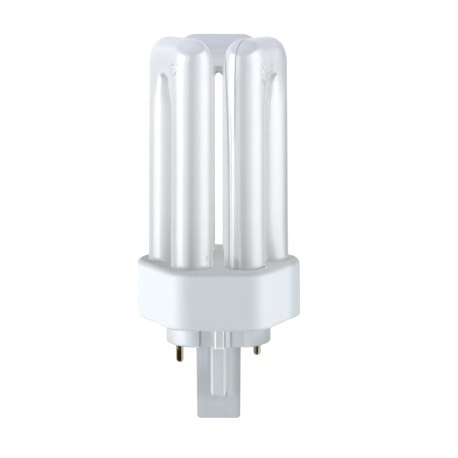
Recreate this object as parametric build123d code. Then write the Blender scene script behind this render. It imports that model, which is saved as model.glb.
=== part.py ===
from build123d import *
from math import atan2, cos, degrees, hypot, radians, sin, sqrt, tan
import os

# A two-pin triple-tube compact fluorescent lamp, in millimetres.
# +Z runs up the lamp, the origin is the middle of the post's end face and the front is -Y.
# One pair of limbs stands at the back and two pairs stand in front of it.

# Heights, from the end of the post up to the top of the glass
post_length = 23.8
collar_height = 6.6
housing_height = 17.2
limb_height = 65.4

# Discharge tube: three U-bent pairs of limbs, joined into one glass by two bridges inside the housing
tube_diameter = 12.0
limb_gap = 2.2
pair_gap = 3.3
bridge_diameter = 5.0
foot_clearance = 3.2
foot_round = 3.5
pinch_thickness = 3.4
pinch_width = 10.6
pinch_length = 1.4
pinch_slope = 3.6
pinch_lead_spacing = 5.2
exhaust_diameter = 3.2
exhaust_length = 3.0

# Housing: a six-sided shell, open below, with a deck that the limbs pass through
deck_thickness = 1.8
housing_margin = 3.2
housing_wall = 1.6
skirt_wall = 1.0
housing_corner_round = 9.0
housing_top_round = 1.8
housing_rim_round = 0.8
housing_draft = 1.0

# Cement: an adhesive bed under the deck, and a collar of it round each limb
cement_depth = 2.4
cement_recess = 0.3
cement_well_diameter = 11.0

# Base cap: closing plate, rounded square collar and hollow post, moulded in one
plate_thickness = 1.6
collar_wall = 2.2
collar_floor = 1.8
collar_corner_round = 10.0
collar_edge_round = 0.5
key_left_start = 2.3
key_left_width = 3.3
key_right_start = 3.4
key_right_width = 4.0
key_notch_depth = 1.1
key_bar_width = 2.8
key_bar_offset = 0.3
key_bar_rise = 1.1
key_bar_drop = 0.3
key_bar_round = 0.4
post_width = 13.2
post_depth = 15.0
post_wall = 1.2
post_floor = 1.4
post_draft = 0.35
post_corner_round = 1.4
post_end_round = 0.8
rib_width = 4.4
rib_rise = 1.1
rib_start = 7.2
rib_edge_round = 0.6
gusset_width = 1.15
gusset_rise = 0.8
gusset_slope = 4.0

# Contact pins
pin_diameter = 2.36
pin_shank_diameter = 2.7
pin_reach = 7.3
pin_spacing_x = 23.2
pin_spacing_y = 8.0
pin_edge = 3.85
pin_boss_diameter = 5.4
pin_boss_height = 3.6
pin_head_diameter = 3.6
pin_head_thickness = 0.8
solder_bore_diameter = 0.8
solder_bore_depth = 1.6

# Starter parts in the post, and the wires
starter_height = 13.0
starter_round = 2.0
stem_width = 4.2
stem_thickness = 2.0
stem_height = 3.0
stem_lead_spacing = 2.4
capacitor_thickness = 3.2
capacitor_width = 8.0
capacitor_height = 9.0
capacitor_round = 0.8
capacitor_lead_rise = 2.0
wire_diameter = 0.5
wire_bend = 0.6

# Fits
limb_clearance = 0.3
bond_line = 0.02
plate_clearance = 0.08
pin_clearance = 0.02
pin_head_clearance = 0.2
post_clearance = 0.3
wire_clearance = 0.65
wire_touch = 0.02

# Levels
seat_z = post_length
plate_z = seat_z + collar_height
plate_top = plate_z + plate_thickness
deck_z = plate_z + housing_height
deck_under = deck_z - deck_thickness
cement_under = deck_under - cement_depth
tube_top = deck_z + limb_height
shoulder_z = tube_top - tube_diameter / 2
pinch_end = plate_top + foot_clearance
foot_z = pinch_end + pinch_length
bridge_z = (foot_z + cement_under) / 2
collar_cavity_z = seat_z + collar_floor
boss_top = collar_cavity_z + pin_boss_height
pin_top = boss_top + pin_head_thickness
starter_top = post_floor + starter_height
stem_top = starter_top + stem_height
wire_level = plate_top + wire_clearance + wire_diameter / 2

# Plan: a pair's limbs stand limb_half either side of its middle, pair_plane from the lamp's axis
STANDING = (Align.CENTER, Align.CENTER, Align.MIN)
SIDES = {"left": -1, "right": 1}
PAIR_TURNS = {"back": 0, "left": 120, "right": 240}
tube_radius = tube_diameter / 2
limb_half = (tube_diameter + limb_gap) / 2
pair_plane = (tube_diameter + pair_gap + limb_half) / sqrt(3)
housing_side = pair_plane + tube_radius + housing_margin
limb_hole_diameter = tube_diameter + 2 * limb_clearance
pin_x = pin_spacing_x / 2
pin_y = pin_spacing_y / 2
collar_half = pin_x + pin_edge
cavity_x = post_width - 2 * post_wall
cavity_y = post_depth - 2 * post_wall
starter_diameter = cavity_x - capacitor_thickness - 3 * post_clearance
starter_x = post_clearance + starter_diameter / 2 - cavity_x / 2
capacitor_x = cavity_x / 2 - post_clearance - capacitor_thickness / 2


def turned(x, y, angle):
    """A plan point turned about the lamp's axis."""
    c = cos(radians(angle))
    s = sin(radians(angle))
    return (x * c - y * s, x * s + y * c)


def limb_centre(pair, side):
    """Plan place of one limb of a pair."""
    return turned(side * limb_half, pair_plane, PAIR_TURNS[pair])


def limb_centres():
    """Plan places of all the limbs."""
    return [limb_centre(pair, side) for pair in PAIR_TURNS for side in SIDES.values()]


def upright(diameter, low, high, x=0, y=0):
    """A vertical cylinder between two heights."""
    return Pos(x, y, low) * Cylinder(diameter / 2, high - low, align=STANDING)


def block(size_x, size_y, low, high, x=0, y=0):
    """A box between two heights."""
    return Pos(x, y, low) * Box(size_x, size_y, high - low, align=STANDING)


def front_and_back(shape):
    """A shape at the front, and the same turned to the back."""
    return [shape, Rot(0, 0, 180) * shape]


def hexagon(inset):
    """Plan of the housing, drawn in by inset, with one side along each pair of limbs."""
    plan = RegularPolygon(housing_side - inset, 6, major_radius=False)
    return fillet(plan.vertices(), housing_corner_round - inset)


def slab(inset, low, high):
    """The housing's plan, drawn in by inset, between two heights."""
    return extrude(Pos(0, 0, low) * hexagon(inset), high - low)


def collar_block(inset, low, high):
    """The collar's rounded square, drawn in by inset, between two heights."""
    side = 2 * (collar_half - inset)
    return extrude(Pos(0, 0, low) * RectangleRounded(side, side, collar_corner_round - inset), high - low)


def wire(*points):
    """A round wire along straight runs with small bends."""
    path = FilletPolyline(*points, radius=wire_bend)
    return sweep(Plane(path @ 0, z_dir=path % 0) * Circle(wire_diameter / 2), path=path)


def round_foot():
    """A limb that ends in a rounded, closed foot."""
    limb = upright(tube_diameter, foot_z, shoulder_z)
    return fillet(limb.edges().sort_by(Axis.Z)[0], foot_round)


def pinched_foot():
    """A limb whose foot is pinched flat along X, where its electrode's wires leave the glass."""
    slope_top = foot_z + pinch_slope
    thin = pinch_thickness / 2
    right = [(thin, pinch_end), (thin, foot_z), (tube_radius, slope_top)]
    left = [(-y, z) for y, z in reversed(right)]
    jaws = extrude(Plane.YZ * Polygon(*right, *left, align=None), pinch_width / 2, both=True)
    foot = upright(tube_diameter, pinch_end, slope_top) & jaws
    return foot + upright(tube_diameter, slope_top, shoulder_z)


def u_pair(left_limb, right_limb):
    """Two limbs and the cross tube that joins their tops, with round shoulders."""
    pair = Pos(0, 0, shoulder_z) * Rot(0, 90, 0) * Cylinder(tube_radius, 2 * limb_half)
    for side, limb in ((-1, left_limb), (1, right_limb)):
        pair += Pos(side * limb_half, 0, 0) * (limb + Pos(0, 0, shoulder_z) * Sphere(tube_radius))
    return Pos(0, pair_plane, 0) * pair


def bridges(diameter):
    """The short tubes from the back pair to the outer limb of each front pair."""
    tubes = []
    for name, side in SIDES.items():
        start = limb_centre("back", side)
        end = limb_centre(name, -side)
        run = (end[0] - start[0], end[1] - start[1])
        middle = Pos((start[0] + end[0]) / 2, (start[1] + end[1]) / 2, bridge_z)
        lie = Rot(0, 0, degrees(atan2(run[1], run[0]))) * Rot(0, 90, 0)
        tubes.append(middle * lie * Cylinder(diameter / 2, hypot(*run)))
    return tubes


def make_discharge_tube():
    plain = round_foot()
    pinched = pinched_foot()
    tube = u_pair(plain, plain)
    tube += Rot(0, 0, PAIR_TURNS["left"]) * u_pair(pinched, plain)
    tube += Rot(0, 0, PAIR_TURNS["right"]) * u_pair(plain, pinched)
    tube += bridges(bridge_diameter)
    tip = limb_centre("back", SIDES["left"])
    return tube + upright(exhaust_diameter, foot_z - exhaust_length, bridge_z, *tip)


def make_limb_cement():
    bed = slab(housing_wall + bond_line, cement_under, deck_under)
    bed -= upright(cement_well_diameter, cement_under, deck_under)
    collar = limb_hole_diameter - 2 * bond_line
    for x, y in limb_centres():
        bed += upright(collar, deck_under, deck_z - cement_recess, x, y)
    for x, y in limb_centres():
        bed -= upright(tube_diameter + 2 * bond_line, cement_under, deck_z, x, y)
    return bed - bridges(bridge_diameter + 2 * bond_line)


def make_housing():
    growth = housing_height * tan(radians(housing_draft))
    shell = extrude(Pos(0, 0, plate_z) * hexagon(-growth), housing_height, taper=housing_draft)
    shell = fillet(shell.faces().sort_by(Axis.Z)[-1].edges(), housing_top_round)
    shell = fillet(shell.faces().sort_by(Axis.Z)[0].edges(), housing_rim_round)
    shell -= slab(housing_wall, plate_top, deck_under)
    shell -= slab(skirt_wall, plate_z, plate_top)
    for x, y in limb_centres():
        shell -= upright(limb_hole_diameter, deck_under, deck_z, x, y)
    return shell


def hip_gusset(side, root_y, face_y):
    """A ramp beside the rib: it falls away from the rib's flank and slopes to nothing at its lower end."""
    inner = side * rib_width / 2
    outer = side * (rib_width / 2 + gusset_width)
    ramp_z = rib_start + gusset_slope
    ridge_y = face_y - gusset_rise
    low = Vector(inner, face_y, rib_start)
    ridge = [Vector(inner, ridge_y, ramp_z), Vector(inner, ridge_y, seat_z)]
    eave = [Vector(outer, face_y, ramp_z), Vector(outer, face_y, seat_z)]
    root_low = Vector(inner, root_y, rib_start)
    root_inner = Vector(inner, root_y, seat_z)
    root_outer = [Vector(outer, root_y, ramp_z), Vector(outer, root_y, seat_z)]
    loops = [
        [low, eave[0], ridge[0]],
        [eave[0], eave[1], ridge[1], ridge[0]],
        [root_low, low, ridge[0], ridge[1], root_inner],
        [root_low, root_outer[0], eave[0], low],
        [root_outer[0], root_outer[1], eave[1], eave[0]],
        [root_inner, ridge[1], eave[1], root_outer[1]],
        [root_low, root_inner, root_outer[1], root_outer[0]],
    ]
    return Solid(Shell([Face(Wire.make_polygon(loop)) for loop in loops]))


def latch_rib():
    """The upright rib on the post's front face, with a ramp on each side."""
    face_y = -post_depth / 2
    root_y = face_y + post_wall
    depth = post_wall + rib_rise
    rib = block(rib_width, depth, rib_start, seat_z, 0, root_y - depth / 2)
    rib = fillet(rib.edges().filter_by(Axis.Z).sort_by(Axis.Y)[:2], rib_edge_round)
    for side in SIDES.values():
        rib += hip_gusset(side, root_y, face_y)
    return rib


def post_body():
    """The outside of the post, a little narrower at its end."""
    growth = 2 * post_length * tan(radians(post_draft))
    end = RectangleRounded(post_width - growth, post_depth - growth, post_corner_round)
    post = extrude(end, post_length, taper=-post_draft)
    post = fillet(post.faces().sort_by(Axis.Z)[0].edges(), post_end_round)
    return post + front_and_back(latch_rib())


def key_bar():
    """The upright bar on the collar's front, with rounded edges and a foot that hangs a little below it."""
    depth = collar_wall + key_bar_rise
    front = -collar_half - key_bar_rise
    bar = block(key_bar_width, depth, seat_z - key_bar_drop, plate_z, key_bar_offset, front + depth / 2)
    return fillet(bar.faces().sort_by(Axis.Y)[0].edges(), key_bar_round)


def collar_body():
    """The outside of the collar, with a key bar between two shallow notches, front and back."""
    collar = collar_block(0, seat_z, plate_z)
    collar = fillet(collar.faces().sort_by(Axis.Z)[0].edges(), collar_edge_round)
    notches = ((-1, key_left_start, key_left_width), (1, key_right_start, key_right_width))
    for side, start, width in notches:
        place = side * (start + width / 2)
        notch = block(width, 2 * key_notch_depth, seat_z, plate_z, place, -collar_half)
        collar -= front_and_back(notch)
    return collar + front_and_back(key_bar())


def make_base_cap():
    cap = collar_body() + slab(skirt_wall + plate_clearance, plate_z, plate_top) + post_body()
    cap -= collar_block(collar_wall, collar_cavity_z, plate_top)
    cap -= block(cavity_x, cavity_y, post_floor, collar_cavity_z)
    for side in SIDES.values():
        place = (side * pin_x, side * pin_y)
        cap += upright(pin_boss_diameter, collar_cavity_z, boss_top, *place)
        cap -= upright(pin_shank_diameter + 2 * pin_clearance, seat_z, boss_top, *place)
        cap -= upright(pin_head_diameter + 2 * pin_head_clearance, boss_top, plate_top, *place)
    return cap


def make_contact_pin(side):
    """A brass pin with a round tip, a thicker shank in its boss, a head that seats there and a wire bore."""
    tip_centre = seat_z - pin_reach + pin_diameter / 2
    pin = upright(pin_diameter, tip_centre, seat_z) + Pos(0, 0, tip_centre) * Sphere(pin_diameter / 2)
    pin += upright(pin_shank_diameter, seat_z, boss_top)
    pin += upright(pin_head_diameter, boss_top, pin_top)
    pin -= upright(solder_bore_diameter, pin_top - solder_bore_depth, pin_top)
    return Pos(side * pin_x, side * pin_y, 0) * pin


def pinch_lead(side, towards_axis):
    """Plan place where one of an electrode's two wires leaves its pinched foot."""
    name = "left" if side < 0 else "right"
    reach = limb_half + pinch_lead_spacing / 2 * (1 if towards_axis else -1)
    return turned(side * reach, pair_plane, PAIR_TURNS[name])


def make_pin_lead(side):
    start = pinch_lead(side, False)
    end = (side * pin_x, side * pin_y)
    bore_end = pin_top - solder_bore_depth + wire_touch
    return wire((*start, pinch_end), (*start, wire_level), (*end, wire_level), (*end, bore_end))


def make_starter_lead(side):
    start = pinch_lead(side, True)
    end = (starter_x, side * stem_lead_spacing / 2)
    return wire((*start, pinch_end), (*start, wire_level), (*end, wire_level), (*end, stem_top))


def make_glow_starter():
    """The glow switch: a small sealed bottle standing on the post's floor, with a flat stem on top."""
    bottle = upright(starter_diameter, post_floor, starter_top)
    ends = bottle.edges().filter_by(GeomType.CIRCLE)
    bottle = fillet(ends, min(starter_round, 0.45 * starter_diameter))
    stem = block(stem_thickness, stem_width, starter_top - starter_round, stem_top)
    return Pos(starter_x, 0, 0) * (bottle + stem)


def make_suppression_capacitor():
    """A film block beside the glow switch, with a wire to each of the starter's leads."""
    body = block(capacitor_thickness, capacitor_width, post_floor, post_floor + capacitor_height, capacitor_x)
    body = fillet(body.edges().filter_by(Axis.Z), capacitor_round)
    root = post_floor + capacitor_height / 2
    level = stem_top + capacitor_lead_rise
    reach = starter_x + wire_diameter / 2 + wire_touch
    for side in SIDES.values():
        y = side * stem_lead_spacing / 2
        body += wire((capacitor_x, y, root), (capacitor_x, y, level), (reach, y, level))
    return body


nodes = {
    "discharge_tube": make_discharge_tube(),
    "limb_cement": make_limb_cement(),
    "housing": make_housing(),
    "base_cap": make_base_cap(),
    "glow_starter": make_glow_starter(),
    "suppression_capacitor": make_suppression_capacitor(),
}
for name, side in SIDES.items():
    nodes[f"contact_pin_{name}"] = make_contact_pin(side)
    nodes[f"pin_lead_{name}"] = make_pin_lead(side)
    nodes[f"starter_lead_{name}"] = make_starter_lead(side)

os.makedirs("parts", exist_ok=True)
for name, shape in nodes.items():
    export_step(shape, f"parts/{name}.step")
    print(name, round(shape.volume, 1))
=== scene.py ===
# %% [markdown]
# # A plug-in lamp with three folded glass tubes
# The lamp is six white glass limbs, bent in pairs into three narrow arches, that stand in a six-sided
# white shell. Under it are a squarish round-cornered collar, a post and two brass pins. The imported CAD
# model is the fixed frame: every piece below is made in its place, in metres.

# %% Load the frame
import math

import bmesh
import bpy
import numpy as np
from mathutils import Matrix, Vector


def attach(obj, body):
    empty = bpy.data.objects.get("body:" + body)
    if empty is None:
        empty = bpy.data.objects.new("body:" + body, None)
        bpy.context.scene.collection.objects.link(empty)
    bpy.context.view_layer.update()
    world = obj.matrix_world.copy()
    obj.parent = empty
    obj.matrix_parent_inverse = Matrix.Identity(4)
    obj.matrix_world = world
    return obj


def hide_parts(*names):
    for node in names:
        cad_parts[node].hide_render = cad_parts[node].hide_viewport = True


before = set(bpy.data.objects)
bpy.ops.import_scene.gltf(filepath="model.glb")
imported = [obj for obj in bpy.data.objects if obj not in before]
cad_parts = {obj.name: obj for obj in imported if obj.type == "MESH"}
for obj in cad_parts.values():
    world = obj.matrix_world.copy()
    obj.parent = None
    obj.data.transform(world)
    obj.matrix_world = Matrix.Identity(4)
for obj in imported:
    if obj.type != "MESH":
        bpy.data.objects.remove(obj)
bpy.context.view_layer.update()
mm = 0.001
print("nodes", sorted(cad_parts))

# %% [markdown]
# ## Camera
# The picture was taken with a long lens from a little above the lamp. A camera could be aimed with a
# Track To constraint, but a plain tilt about X says the same thing in one number.

# %% Set the camera
camera_data = bpy.data.cameras.new("camera")
camera_data.lens = 124.29
camera_data.sensor_width = 36.0
camera = bpy.data.objects.new("camera", camera_data)
camera.location = (3.088 * mm, -461.0 * mm, 140.81 * mm)
camera.rotation_euler = (math.radians(90 - 10.404), 0, 0)
bpy.context.scene.collection.objects.link(camera)
bpy.context.scene.camera = camera
print("camera", tuple(camera.location), "lens", camera_data.lens)

# %% [markdown]
# ## Helpers for nodes
# The room and every finish are drawn with shader nodes. They could be added and wired by hand in the
# Shader Editor. These short functions do the same, so that each line further down can say one thing.

# %% Add nodes and feed them


def put(tree, kind, **settings):
    """Add a node and set its plain properties."""
    node = tree.nodes.new(kind)
    for name, value in settings.items():
        setattr(node, name, value)
    return node


def feed(tree, socket, value):
    """Link a socket into an input, or set the input to a plain value."""
    if isinstance(value, bpy.types.NodeSocket):
        tree.links.new(value, socket)
    else:
        socket.default_value = value


def count(tree, operation, *values, clamp=False):
    """One Math node."""
    node = put(tree, "ShaderNodeMath", operation=operation, use_clamp=clamp)
    for socket, value in zip(node.inputs, values):
        feed(tree, socket, value)
    return node.outputs[0]


def both(tree, first, *others):
    """The product of masks and numbers: what lies in all of them."""
    for other in others:
        first = count(tree, "MULTIPLY", first, other)
    return first


def step_up(tree, value, low, high, kind="SMOOTHSTEP"):
    """A mask that rises from 0 at low to 1 at high. It falls where low is the larger."""
    node = put(tree, "ShaderNodeMapRange", interpolation_type=kind)
    feed(tree, node.inputs["Value"], value)
    feed(tree, node.inputs["From Min"], low)
    feed(tree, node.inputs["From Max"], high)
    return node.outputs["Result"]


# %% Ramps, places and paints


def ramp(tree, value, stops, kind="LINEAR"):
    """A Color Ramp through a list of (place, colour) stops."""
    node = put(tree, "ShaderNodeValToRGB")
    node.color_ramp.interpolation = kind
    elements = node.color_ramp.elements
    while len(elements) < len(stops):
        elements.new(0.5)
    for element, (place, colour) in zip(elements, stops):
        element.position = place
        element.color = (*colour, 1)
    feed(tree, node.inputs["Fac"], value)
    return node.outputs["Color"]


def object_place(tree):
    """The Object coordinate, which stays put on the piece."""
    return put(tree, "ShaderNodeTexCoord").outputs["Object"]


def split_up(tree, vector):
    """The X, Y and Z of a vector."""
    node = put(tree, "ShaderNodeSeparateXYZ")
    feed(tree, node.inputs[0], vector)
    return tuple(node.outputs)


def new_paint(name):
    """A material with its Principled shader."""
    paint = bpy.data.materials.new(name)
    paint.use_nodes = True
    return paint, paint.node_tree, paint.node_tree.nodes["Principled BSDF"]


# %% [markdown]
# ## Studio
# White goods on white need soft shade and long clean highlights. The room is drawn in the world's nodes,
# once for each kind of ray: gloss sees two tall soft boxes at the sides with a dark front between them,
# matt surfaces see a calm grey that is lighter in front, and the camera sees plain white. Area lights
# would do as well, but a drawn room lets each box fade as softly or as sharply as it should. Bright metal
# mirrors the whole room, so three cards that gloss alone can see keep the boxes off the pins and the
# right of the collar.

# %% Floor and card helpers


def set_glow(shader, base, strength):
    """Make a shader matt, with a plain white light of its own."""
    shader.inputs["Base Color"].default_value = (base, base, base, 1)
    shader.inputs["Roughness"].default_value = 0.9
    shader.inputs["Specular IOR Level"].default_value = 0.0
    shader.inputs["Emission Color"].default_value = (1, 1, 1, 1)
    shader.inputs["Emission Strength"].default_value = strength


def gloss_only(card):
    """Let a card show in reflections alone."""
    card.visible_camera = False
    card.visible_diffuse = False
    card.visible_shadow = False
    print(card.name, tuple(round(c, 3) for c in card.dimensions))


def gloss_card(name, place, width, height, strength):
    """A plain card that faces left and shows in reflections alone."""
    bpy.ops.object.select_all(action="DESELECT")
    bpy.ops.mesh.primitive_plane_add(size=1.0, location=place, rotation=(0, -math.pi / 2, 0))
    card = bpy.context.active_object
    card.name = name
    card.scale = (height, width, 1)
    bpy.ops.object.transform_apply(location=False, rotation=False, scale=True)
    paint, tree, shader = new_paint(name)
    set_glow(shader, 0.0, strength)
    card.data.materials.append(paint)
    gloss_only(card)


# %% Pale floor
bpy.ops.object.select_all(action="DESELECT")
bpy.ops.mesh.primitive_plane_add(size=8.0, location=(0, 0, 0))
floor = bpy.context.active_object
floor.name = "floor"
floor_paint, tree, shader = new_paint("floor_paint")
set_glow(shader, 0.8, 0.75)
floor.data.materials.append(floor_paint)
floor.visible_diffuse = False
floor.visible_glossy = False
print("floor", tuple(floor.dimensions))

# %% Dark card round the foot, paler behind
card_dark, card_pale = 0.02, 0.95
bpy.ops.object.select_all(action="DESELECT")
bpy.ops.mesh.primitive_cylinder_add(
    vertices=64, radius=42 * mm, depth=60 * mm, end_fill_type="NOTHING", location=(0, 0, -14 * mm)
)
card = bpy.context.active_object
card.name = "dark_card"
card_paint, tree, shader = new_paint("card_paint")
set_glow(shader, 0.0, 1.0)
x, y, z = split_up(tree, object_place(tree))
behind = step_up(tree, count(tree, "MULTIPLY_ADD", x, 0.3, y), -24 * mm, -4 * mm, "LINEAR")
card_tone = count(tree, "MULTIPLY_ADD", behind, card_pale - card_dark, card_dark)
feed(tree, shader.inputs["Emission Color"], card_tone)
card.data.materials.append(card_paint)
gloss_only(card)

# %% Small cards at the right of the collar and of the left pin
gloss_card("grey_card", (38 * mm, -10 * mm, 2 * mm), 70 * mm, 44 * mm, 0.8)
gloss_card("pin_card", (-8.2 * mm, -3.6 * mm, 19 * mm), 7 * mm, 8 * mm, 0.72)

# %% Levels of the room in gloss: by direction in degrees, where 0 is the camera, then by height
box_stops = [
    (-180, 0.1), (-166, 0.3), (-150, 1.0), (-125, 2.2), (-108, 3.4), (-97, 5.8), (-88, 8.6), (-76, 10.8),
    (-64, 12.2), (-55, 12.2), (-49, 8.2), (-38, 7.0), (-28, 5.2), (-9, 1.3), (8, 1.4), (24, 3.8), (40, 6.0),
    (46, 7.2), (53, 9.8), (68, 10.6), (84, 10.2), (100, 7.0), (117, 3.2), (136, 1.1), (166, 0.4), (180, 0.2),
]
box_peak = 13.0
height_stops = [(-1.0, 1.0), (0.34, 1.0), (0.60, 0.08), (1.0, 0.06)]
ring_stops = [((az + 180) / 360, (level / box_peak,) * 3) for az, level in box_stops]
ceiling_stops = [((up + 1) / 2, (level,) * 3) for up, level in height_stops]
print("room levels", len(ring_stops), "round and", len(ceiling_stops), "up")

# %% Directions in the room
world = bpy.data.worlds.new("studio")
world.use_nodes = True
bpy.context.scene.world = world
room = world.node_tree
room.nodes.clear()
x, y, z = split_up(room, put(room, "ShaderNodeTexCoord").outputs["Generated"])
toward = count(room, "MULTIPLY", y, -1.0)
rightward = count(room, "MAXIMUM", x, 0.0)
leftward = count(room, "MAXIMUM", count(room, "MULTIPLY", x, -1.0), 0.0)
around = count(room, "MULTIPLY_ADD", count(room, "ARCTAN2", x, toward), 0.5 / math.pi, 0.5)
print("world", world.name)

# %% Soft boxes, and the glow of the white sweep behind
ring = both(room, ramp(room, around, ring_stops, "EASE"), box_peak)
height = count(room, "MULTIPLY_ADD", count(room, "MULTIPLY_ADD", rightward, -0.1, z), 0.5, 0.5)
ceiling = ramp(room, height, ceiling_stops, "EASE")
box_foot = step_up(room, count(room, "MULTIPLY_ADD", rightward, -0.012, z), -0.42, -0.30)
low_lift = both(room, step_up(room, z, -0.13, -0.20, "LINEAR"), 0.22)
window = both(room, ceiling, count(room, "MULTIPLY_ADD", low_lift, leftward, 1.0), box_foot)
glow_right = count(room, "MULTIPLY_ADD", rightward, -0.15, 0.36)
sweep_glow = count(room, "MAXIMUM", count(room, "MULTIPLY_ADD", toward, -0.40, glow_right), 0.02)
gloss_level = count(room, "MULTIPLY_ADD", ring, window, sweep_glow)
matt_level = count(room, "MULTIPLY_ADD", toward, 0.24, count(room, "MULTIPLY_ADD", z, -0.11, 0.48))
print("boxes and glow", len(room.nodes), "nodes")


# %% Pick the room for each kind of ray


def backdrop(colour, level):
    """One Background node."""
    node = put(room, "ShaderNodeBackground")
    feed(room, node.inputs["Color"], (*colour, 1))
    feed(room, node.inputs["Strength"], level)
    return node.outputs[0]


def pick(share, first, second):
    """One Mix Shader node."""
    node = put(room, "ShaderNodeMixShader")
    for socket, value in zip(node.inputs, (share, first, second)):
        feed(room, socket, value)
    return node.outputs[0]


path = put(room, "ShaderNodeLightPath").outputs
seen_by_matt = backdrop((0.97, 0.99, 1.0), matt_level)
seen_by_gloss = backdrop((0.96, 0.975, 1.0), gloss_level)
seen_by_piece = pick(path["Is Glossy Ray"], seen_by_matt, seen_by_gloss)
seen = pick(path["Is Camera Ray"], seen_by_piece, backdrop((1, 1, 1), 1.0))
feed(room, put(room, "ShaderNodeOutputWorld").inputs["Surface"], seen)
bpy.context.scene.view_settings.view_transform = "Standard"
print("room", len(room.nodes), "nodes")

# %% [markdown]
# ## Glass
# Each pair of limbs is one tube, bent while soft and pressed in a mould, so the bend has square
# shoulders outside and a tight fold inside. A curve with a round bevel would pinch at a bend this tight.
# Here a disc becomes the closed foot, its rim is extruded up the limb, spun over the arch and extruded
# down again, and then the round arch is pushed out to the mould's shape.

# %% Sizes of one arch
tube_radius = 6.0 * mm
limb_reach = 7.1 * mm
pair_plane = 12.933 * mm
foot_z = 36.6 * mm
foot_round = 3.5 * mm
deck_z = 47.6 * mm
top_z = 113.0 * mm
arch_z = top_z - limb_reach - tube_radius
fold_radius = limb_reach - tube_radius
print("arch centre at", round(arch_z / mm, 2), "fold radius", round(fold_radius / mm, 2))


# %% Helpers for edit mode


def only(piece):
    """Make one piece the only selected and active object."""
    bpy.ops.object.select_all(action="DESELECT")
    piece.select_set(True)
    bpy.context.view_layer.objects.active = piece


def settle(piece):
    """Put the piece's place into its mesh, so its object sits at the origin."""
    only(piece)
    bpy.ops.object.transform_apply(location=True, rotation=True, scale=True)


def grow(step, scale=1.0, centre=(0, 0, 0)):
    """Extrude the selected rim along a step, and scale it about a centre."""
    bpy.ops.mesh.extrude_edges_move(TRANSFORM_OT_translate={"value": step})
    if scale != 1.0:
        bpy.ops.transform.resize(value=(scale, scale, 1), center_override=centre)


def select_rim():
    """Select the open edges of the mesh in edit mode."""
    bpy.ops.mesh.select_all(action="DESELECT")
    bpy.ops.mesh.select_mode(type="EDGE")
    bpy.ops.mesh.select_non_manifold()


# %% Foot and first limb
foot_steps = 8
limb_steps = 22
spin_steps = 96
flat_radius = tube_radius - foot_round
bpy.ops.object.select_all(action="DESELECT")
bpy.ops.mesh.primitive_circle_add(
    vertices=176, radius=flat_radius, fill_type="TRIFAN", location=(-limb_reach, pair_plane, foot_z)
)
arch = bpy.context.active_object
arch.name = "arch_back"
settle(arch)
bpy.ops.object.mode_set(mode="EDIT")
select_rim()
foot_rings = []
for k in range(foot_steps + 1):
    angle = math.pi / 2 * k / foot_steps
    ring_z = foot_round * (1 - math.cos(angle))
    ring_radius = flat_radius + foot_round * math.sin(angle)
    foot_rings.append((ring_z, ring_radius))
for (low_z, low_r), (high_z, high_r) in zip(foot_rings, foot_rings[1:]):
    grow((0, 0, high_z - low_z), high_r / low_r, (-limb_reach, pair_plane, foot_z + high_z))
limb_step = (arch_z - foot_z - foot_round) / limb_steps
for k in range(limb_steps):
    grow((0, 0, limb_step))
print("first limb", len(bmesh.from_edit_mesh(arch.data).verts), "vertices")

# %% Bend and second limb
bpy.ops.mesh.spin(steps=spin_steps, angle=math.pi, center=(0, pair_plane, arch_z), axis=(0, -1, 0))
select_rim()
for k in range(limb_steps):
    grow((0, 0, -limb_step))
for (low_z, low_r), (high_z, high_r) in zip(foot_rings[::-1], foot_rings[-2::-1]):
    grow((0, 0, high_z - low_z), high_r / low_r, (limb_reach, pair_plane, foot_z + high_z))
bpy.ops.mesh.extrude_edges_move()
bpy.ops.mesh.merge(type="CENTER")
bpy.ops.mesh.select_all(action="SELECT")
bpy.ops.mesh.remove_doubles(threshold=0.00001 * mm)
bpy.ops.mesh.normals_make_consistent(inside=False)
bpy.ops.object.mode_set(mode="OBJECT")
span = [round(c / mm, 2) for c in arch.dimensions]
print("bent tube", span, "mm,", len(arch.data.polygons), "faces")

# %% Shape of the mould
web_low = 93.0 * mm
web_high = 104.0 * mm
web_squareness = 2.6
squareness = 6.0
fold_rise = 0.6 * mm


def mould_shape(points):
    """Move the points of the round bend out to a square-shouldered one with a tight fold inside."""
    x = points[:, 0]
    up = points[:, 2] - arch_z
    bend = up > 1e-9
    radius = np.hypot(x, up)
    angle = np.arctan2(up, np.abs(x))
    cosine, sine = np.cos(angle), np.sin(angle)
    middle = limb_reach * (cosine**squareness + sine**squareness) ** (-1 / squareness)
    wall = limb_reach + tube_radius
    along = limb_reach * (cosine + sine)
    corner = along + np.sqrt(np.maximum(along**2 - 2 * limb_reach**2 + tube_radius**2, 0))
    flat = wall / np.maximum(cosine, sine)
    on_corner = wall * np.minimum(cosine, sine) / np.maximum(cosine, sine) > limb_reach
    outer = np.where(on_corner, corner, flat)
    share = np.where(bend, radius - limb_reach, np.abs(x) - limb_reach) / tube_radius
    inner_part = middle + share * (middle - fold_radius)
    outer_part = middle + share * (outer - middle)
    pressed = np.where(share < 0, inner_part, outer_part)
    scale = np.where(bend, pressed / np.maximum(radius, 1e-9), 1.0)
    depth = np.clip(np.abs(share), 0, 1)
    fold_lift = fold_rise * sine * np.where(share < 0, depth**3, 0)
    points[:, 0] = x * np.where(bend, scale, 1.0)
    points[:, 2] = np.where(bend, arch_z + up * scale + fold_lift, points[:, 2])
    rise = np.clip((points[:, 2] - web_low) / (web_high - web_low), 0, 1)
    power = 2 + web_squareness * rise**2 * (3 - 2 * rise)
    side = points[:, 1] - pair_plane
    web = np.sign(side) * tube_radius * (1 - depth**power) ** (1 / power)
    above_foot = points[:, 2] > foot_z + foot_round
    points[:, 1] = np.where(above_foot & (share < 0), pair_plane + web, points[:, 1])
    return points


# %% Read, write and check a mesh


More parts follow.
